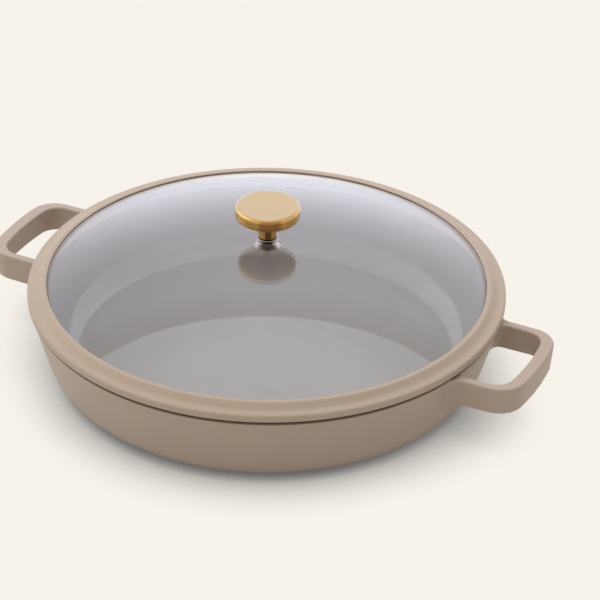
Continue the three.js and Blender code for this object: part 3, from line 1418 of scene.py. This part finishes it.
@dataclass(frozen=True)
class Floor:
    """Paper that shows its own pale colour, shaded close to the pan.

    Mirrors show its far part cooler. Straight through glass, the part behind the lamp shows
    darker, because the lamp's own light is added to it there.
    """

    lamp: StripLamp
    radius: float = 6.0
    drop: float = 0.2 * MM
    segments: int = 96
    far: Colour = (0.90, 0.92, 0.955)
    far_start: float = 0.58
    far_full: float = 0.9
    lit_near: Colour = (0.62, 0.58, 0.42)
    lit_far: Colour = (0.19, 0.16, 0.05)
    lit_edge: float = 0.006
    lit_depth: float = 0.24
    shadow: Colour = (0.135, 0.13, 0.125)
    shade_reach: float = 75 * MM
    shade_full: float = 0.09
    shade_none: float = 0.765
    bounce: Colour = (0.72, 0.70, 0.66)

    def colour(self, tree: ShaderTree) -> Wire:
        """Adds the colour that the paper shows.

        Args:
            tree: The paper's tree.

        Returns:
            The colour.
        """
        mirrored = tree.eased(tree.ray(Ray.MIRRORS_MET), 0.0, 1.0)
        far = tree.eased(tree.from_axis(), self.far_start, self.far_full) * mirrored
        behind = self.lamp.behind(tree)
        lit = tree.blend(self.lit_near, self.lit_far, tree.eased(behind, 0.0, self.lit_depth))
        through = tree.ray(Ray.TRANSMISSION) * (1.0 - mirrored)
        lit_share = tree.eased(behind, -self.lit_edge, 0.0) * through
        sheet = tree.blend(tree.blend(PAPER, self.far, far), lit, lit_share)
        shade = tree.eased(tree.openness(self.shade_reach), self.shade_full, self.shade_none)
        return tree.blend(self.shadow, sheet, shade)

    def build(self) -> None:
        """Makes the floor and its paper."""
        turns = [math.tau * step / self.segments for step in range(self.segments)]
        edge = [
            Vector((math.cos(turn), math.sin(turn), 0.0)) * self.radius - UP * self.drop
            for turn in turns
        ]
        sheet = smooth_object("studio_floor", edge, [list(range(self.segments))])
        paper = bpy.data.materials.new("studio_paper")
        tree = ShaderTree(paper)
        plain = tree.node("ShaderNodeBsdfDiffuse", sockets={"Color": (*self.bounce, 1.0)})
        pale = tree.node("ShaderNodeEmission", sockets={"Color": self.colour(tree)})
        sockets = {0: tree.backdrop_seen(), 1: plain, 2: pale}
        tree.show(tree.node("ShaderNodeMixShader", sockets=sockets))
        sheet.data.materials.append(paper)


@dataclass(frozen=True)
class Patch:
    """A round bright patch of the sky, which fades from its core to its edge."""

    azimuth: float
    elevation: float
    edge: float
    core: float
    gain: float

    def level(self, tree: ShaderTree) -> Wire:
        """The patch's level over the sky."""
        facing = tree.coordinates("Generated").along(heading(self.azimuth, self.elevation))
        return self.gain * tree.eased(facing, self.edge, self.core)


@dataclass(frozen=True)
class Sky:
    """Even fill with a broad glow. Where the sky is seen it is plain paper, lit in mirrors."""

    colour: Colour = (1.03, 1.0, 0.97)
    fill: float = 0.345
    glow: float = 0.95
    glow_azimuth: float = 250.0
    glow_elevation: float = 62.0
    roof: Patch = Patch(azimuth=0.0, elevation=90.0, edge=0.80, core=0.93, gain=0.45)
    side: Patch = Patch(azimuth=286.0, elevation=30.0, edge=0.82, core=0.95, gain=1.0)

    def build(self) -> None:
        """Makes the sky."""
        world = bpy.data.worlds.new("studio_sky")
        bpy.context.scene.world = world
        tree = ShaderTree(world)
        towards = heading(self.glow_azimuth, self.glow_elevation)
        facing = tree.coordinates("Generated").along(towards).at_least(0.0)
        light = {"Color": (*self.colour, 1.0), "Strength": self.glow * facing + self.fill}
        patches = self.roof.level(tree) + self.side.level(tree)
        paper = {"Color": (*PAPER, 1.0), "Strength": 1.0 + tree.ray(Ray.GLOSSY) * patches}
        sky, shown = (tree.node("ShaderNodeBackground", sockets=ends) for ends in (light, paper))
        sockets = {0: tree.backdrop_seen(), 1: sky, 2: shown}
        tree.show(tree.node("ShaderNodeMixShader", sockets=sockets), "ShaderNodeOutputWorld")


@dataclass(frozen=True)
class Studio:
    """A pale floor under a broad soft sky, with a strip lamp behind the pan."""

    lamp: StripLamp = StripLamp()
    sky: Sky = Sky()

    def build(self) -> None:
        """Makes the floor, the sky and the lamp, and sets plain colours for the picture."""
        Floor(self.lamp).build()
        self.sky.build()
        self.lamp.build()
        bpy.context.scene.view_settings.view_transform = "Standard"


@dataclass(frozen=True)
class PhotoCamera:
    """The camera, found by fitting the lid and the base to the photograph."""

    image_width: float = 600.0
    focal: float = 2705.7
    azimuth: float = 26.2
    elevation: float = 31.456
    distance: float = 1.77497
    aim_height: float = 55.4 * MM
    aim_column: float = 266.7
    aim_row: float = 290.804
    roll: float = math.radians(0.69)
    sensor: float = 36.0

    def build(self) -> None:
        """Makes the camera and hands it to the scene."""
        back = heading(self.azimuth, self.elevation)
        right = UP.cross(back).normalized()
        upward = back.cross(right)
        yaw = math.atan((self.aim_column - self.image_width / 2) / self.focal)
        drop = (self.aim_row - self.image_width / 2) / self.focal
        pitch = -math.atan(drop * math.cos(yaw))
        axes = Matrix((right, upward, back)).transposed()
        turn = (
            Matrix.Rotation(yaw, 3, "Y")
            @ Matrix.Rotation(-pitch, 3, "X")
            @ Matrix.Rotation(self.roll, 3, "Z")
        )
        data = bpy.data.cameras.new("photo_camera")
        data.sensor_width = self.sensor
        data.lens = self.sensor * self.focal / self.image_width
        made = linked("photo_camera", data)
        spot = UP * self.aim_height + back * self.distance
        made.matrix_world = Matrix.Translation(spot) @ (axes @ turn).to_4x4()
        bpy.context.scene.camera = made


def main() -> None:
    """Builds the pan and its lid, the studio and the camera."""
    logging.basicConfig(level=logging.INFO, format="%(name)s: %(message)s")
    sizes = PanSizes()
    dome = Dome()
    groups: tuple[SubAssembly, ...] = (
        Casting(sizes),
        CookingSurface(sizes),
        *(LoopHandle(sizes, side) for side in Side),
        GlassLid(sizes, dome),
        Knob(),
        KnobFixing(dome),
    )
    for group in groups:
        group.assemble()
    Studio().build()
    PhotoCamera().build()


if __name__ == "__main__":
    main()
